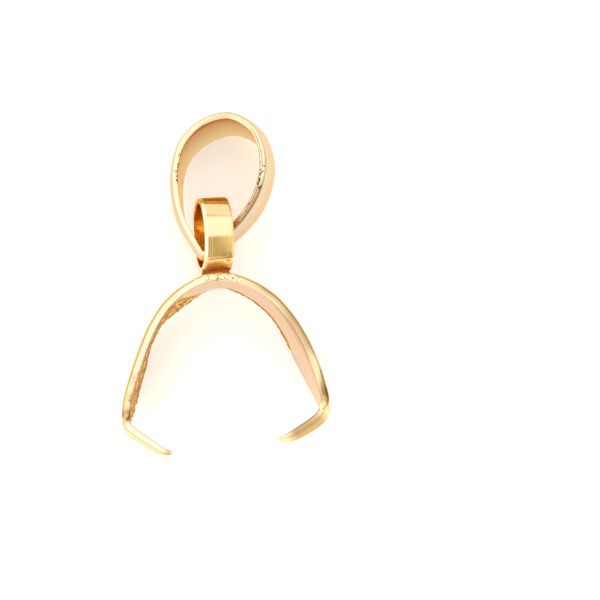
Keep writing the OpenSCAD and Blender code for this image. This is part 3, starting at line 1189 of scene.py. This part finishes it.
class BAIL_OT_stage(bpy.types.Operator):
    """Lays the pale surface and sets the soft light and the camera"""

    bl_idname = "bail.stage"
    bl_label = "Surface, light and camera"

    def execute(self, context):
        lay_surface(context.scene.bail_finish)
        soft_light(context.scene)
        aim_camera(context.scene)
        return {"FINISHED"}


def lay_surface(finish):
    """A pale matt surface that a little warm light comes through."""
    deselect()
    bpy.ops.mesh.primitive_plane_add(size=SURFACE_SIZE, location=(0, 0, 0))
    surface = bpy.context.object
    surface.name = "surface"
    material = bpy.data.materials.new("surface")
    material.use_nodes = True
    p = Paint(material.node_tree)
    shader = p.node(
        "ShaderNodeBsdfPrincipled",
        Base_Color=opaque(finish.surface),
        Roughness=0.6,
        Emission_Color=opaque(finish.glow),
        Emission_Strength=SURFACE_GLOW,
    )
    p.node("ShaderNodeOutputMaterial", Surface=shader.outputs["BSDF"])
    surface.data.materials.append(material)


def soft_box(p, across, along, across_mid, along_mid, across_half, along_half):
    """A soft edged oval of light on the ceiling."""
    u, v = (across - across_mid) / across_half, (along - along_mid) / along_half
    return 1 - p.step(u * u + v * v, *BOX_EDGE)


def strip_at(p, value, middle, side):
    """A soft edged strip about the middle, whose sides fade as side says."""
    return 1 - p.step((value - middle).maths("ABSOLUTE"), *side)


def soft_light(scene):
    """Two soft boxes overhead in a pale room that darkens towards the horizon."""
    world = bpy.data.worlds.new("studio")
    scene.world = world
    world.use_nodes = True
    p = Paint(world.node_tree)
    way = p.node("ShaderNodeTexCoord").outputs["Generated"]
    x, y, z = (p.flow(s) for s in p.node("ShaderNodeSeparateXYZ", Vector=way).outputs)
    height = z.maths("MAXIMUM", CEILING_LOWEST)
    across, along = x / height, y / height
    box = soft_box(p, across, along, *OVERHEAD_BOX) * p.step(z, *BOX_HEIGHT)
    side = soft_box(p, across, along, *SIDE_BOX) * p.step(z, *BOX_HEIGHT)
    far = p.step(y, *FAR_WALL)
    near = p.step(y * -1, *NEAR_WALL)
    left = p.step(x * -1, *LEFT_WALL)
    card = strip_at(p, x, CARD_MIDDLE, CARD_SIDE) * p.step(y * -1, *CARD_FRONT)
    seam = strip_at(p, along, SEAM_MIDDLE, SEAM_SIDE) * p.step(z, *SEAM_HEIGHT)
    room = ROOM_LIGHT + far * FAR_LIGHT + near * NEAR_LIGHT + left * LEFT_LIGHT
    room = room - card * CARD_DARK - seam * SEAM_DARK
    dark = (1 - p.step(z, *HORIZON)) * (1 - far) * HORIZON_DARK
    light = room * (1 - dark) + box.maths("MAXIMUM", side * SIDE_SHARE) * BOX_LIGHT
    tint = p.mix(box, WARM_LIGHT, WHITE_LIGHT)
    lit = p.node("ShaderNodeBackground", Color=tint, Strength=light)
    backdrop = p.node("ShaderNodeBackground", Color=BACKDROP, Strength=1.0)
    seen = p.node("ShaderNodeLightPath").outputs["Is Camera Ray"]
    mixed = p.node("ShaderNodeMixShader", Fac=seen)
    p.feed(mixed.inputs[1], lit.outputs["Background"])
    p.feed(mixed.inputs[2], backdrop.outputs["Background"])
    p.node("ShaderNodeOutputWorld", Surface=mixed.outputs["Shader"])


def aim_camera(scene):
    """Looks from the photograph's angle, with the ring's centre at its place."""
    tilt = math.pi / 2 - ELEVATION
    down = Vector((-math.sin(HEADING), -math.cos(HEADING), 0))
    back = Vector((down.x * math.sin(tilt), down.y * math.sin(tilt), math.cos(tilt)))
    right = (-down).cross(Vector((0, 0, 1))).normalized()
    up = back.cross(right)
    aside = (FRAME_PIXELS / 2 - RING_PIXEL[0]) / PIXELS_PER_MM * MM
    above = (RING_PIXEL[1] - FRAME_PIXELS / 2) / PIXELS_PER_MM * MM
    target = RING_CENTRE * MM + right * aside + up * above
    data = bpy.data.cameras.new("camera")
    camera = bpy.data.objects.new("camera", data)
    scene.collection.objects.link(camera)
    data.sensor_width = SENSOR
    data.lens = SENSOR * DISTANCE / (FRAME_PIXELS / PIXELS_PER_MM * MM)
    data.clip_start, data.clip_end = NEAREST, FARTHEST
    turn = Matrix((right, up, back)).transposed().to_4x4()
    camera.matrix_world = Matrix.Translation(target + back * DISTANCE) @ turn
    scene.camera = camera
    scene.view_settings.view_transform = "Standard"


class BAIL_PT_panel(bpy.types.Panel):
    """Lists the bail's sizes and colours and the steps that build it"""

    bl_label = "Pinch bail"
    bl_space_type = "VIEW_3D"
    bl_region_type = "UI"
    bl_category = "Bail"

    def draw(self, context):
        for name, group in GROUPS.items():
            box = self.layout.box()
            for key in group.__annotations__:
                box.prop(getattr(context.scene, name), key)
        for operator in OPERATORS:
            self.layout.operator(operator.bl_idname)


OPERATORS = (BAIL_OT_clip, BAIL_OT_ring, BAIL_OT_solder, BAIL_OT_loop, BAIL_OT_stage)
GROUPS = {
    "bail_clip": BailClipSizes,
    "bail_ring": BailRingSizes,
    "bail_solder": BailSolderSizes,
    "bail_loop": BailLoopSizes,
    "bail_finish": BailFinish,
}
CLASSES = (*GROUPS.values(), *OPERATORS, BAIL_PT_panel)


def register():
    for c in CLASSES:
        bpy.utils.register_class(c)
    for key, group in GROUPS.items():
        setattr(bpy.types.Scene, key, PointerProperty(type=group))


def unregister():
    for key in GROUPS:
        delattr(bpy.types.Scene, key)
    for c in reversed(CLASSES):
        bpy.utils.unregister_class(c)


def main():
    register()
    bpy.ops.bail.clip()
    bpy.ops.bail.ring()
    bpy.ops.bail.solder()
    bpy.ops.bail.loop()
    bpy.ops.bail.stage()


if __name__ == "__main__":
    main()
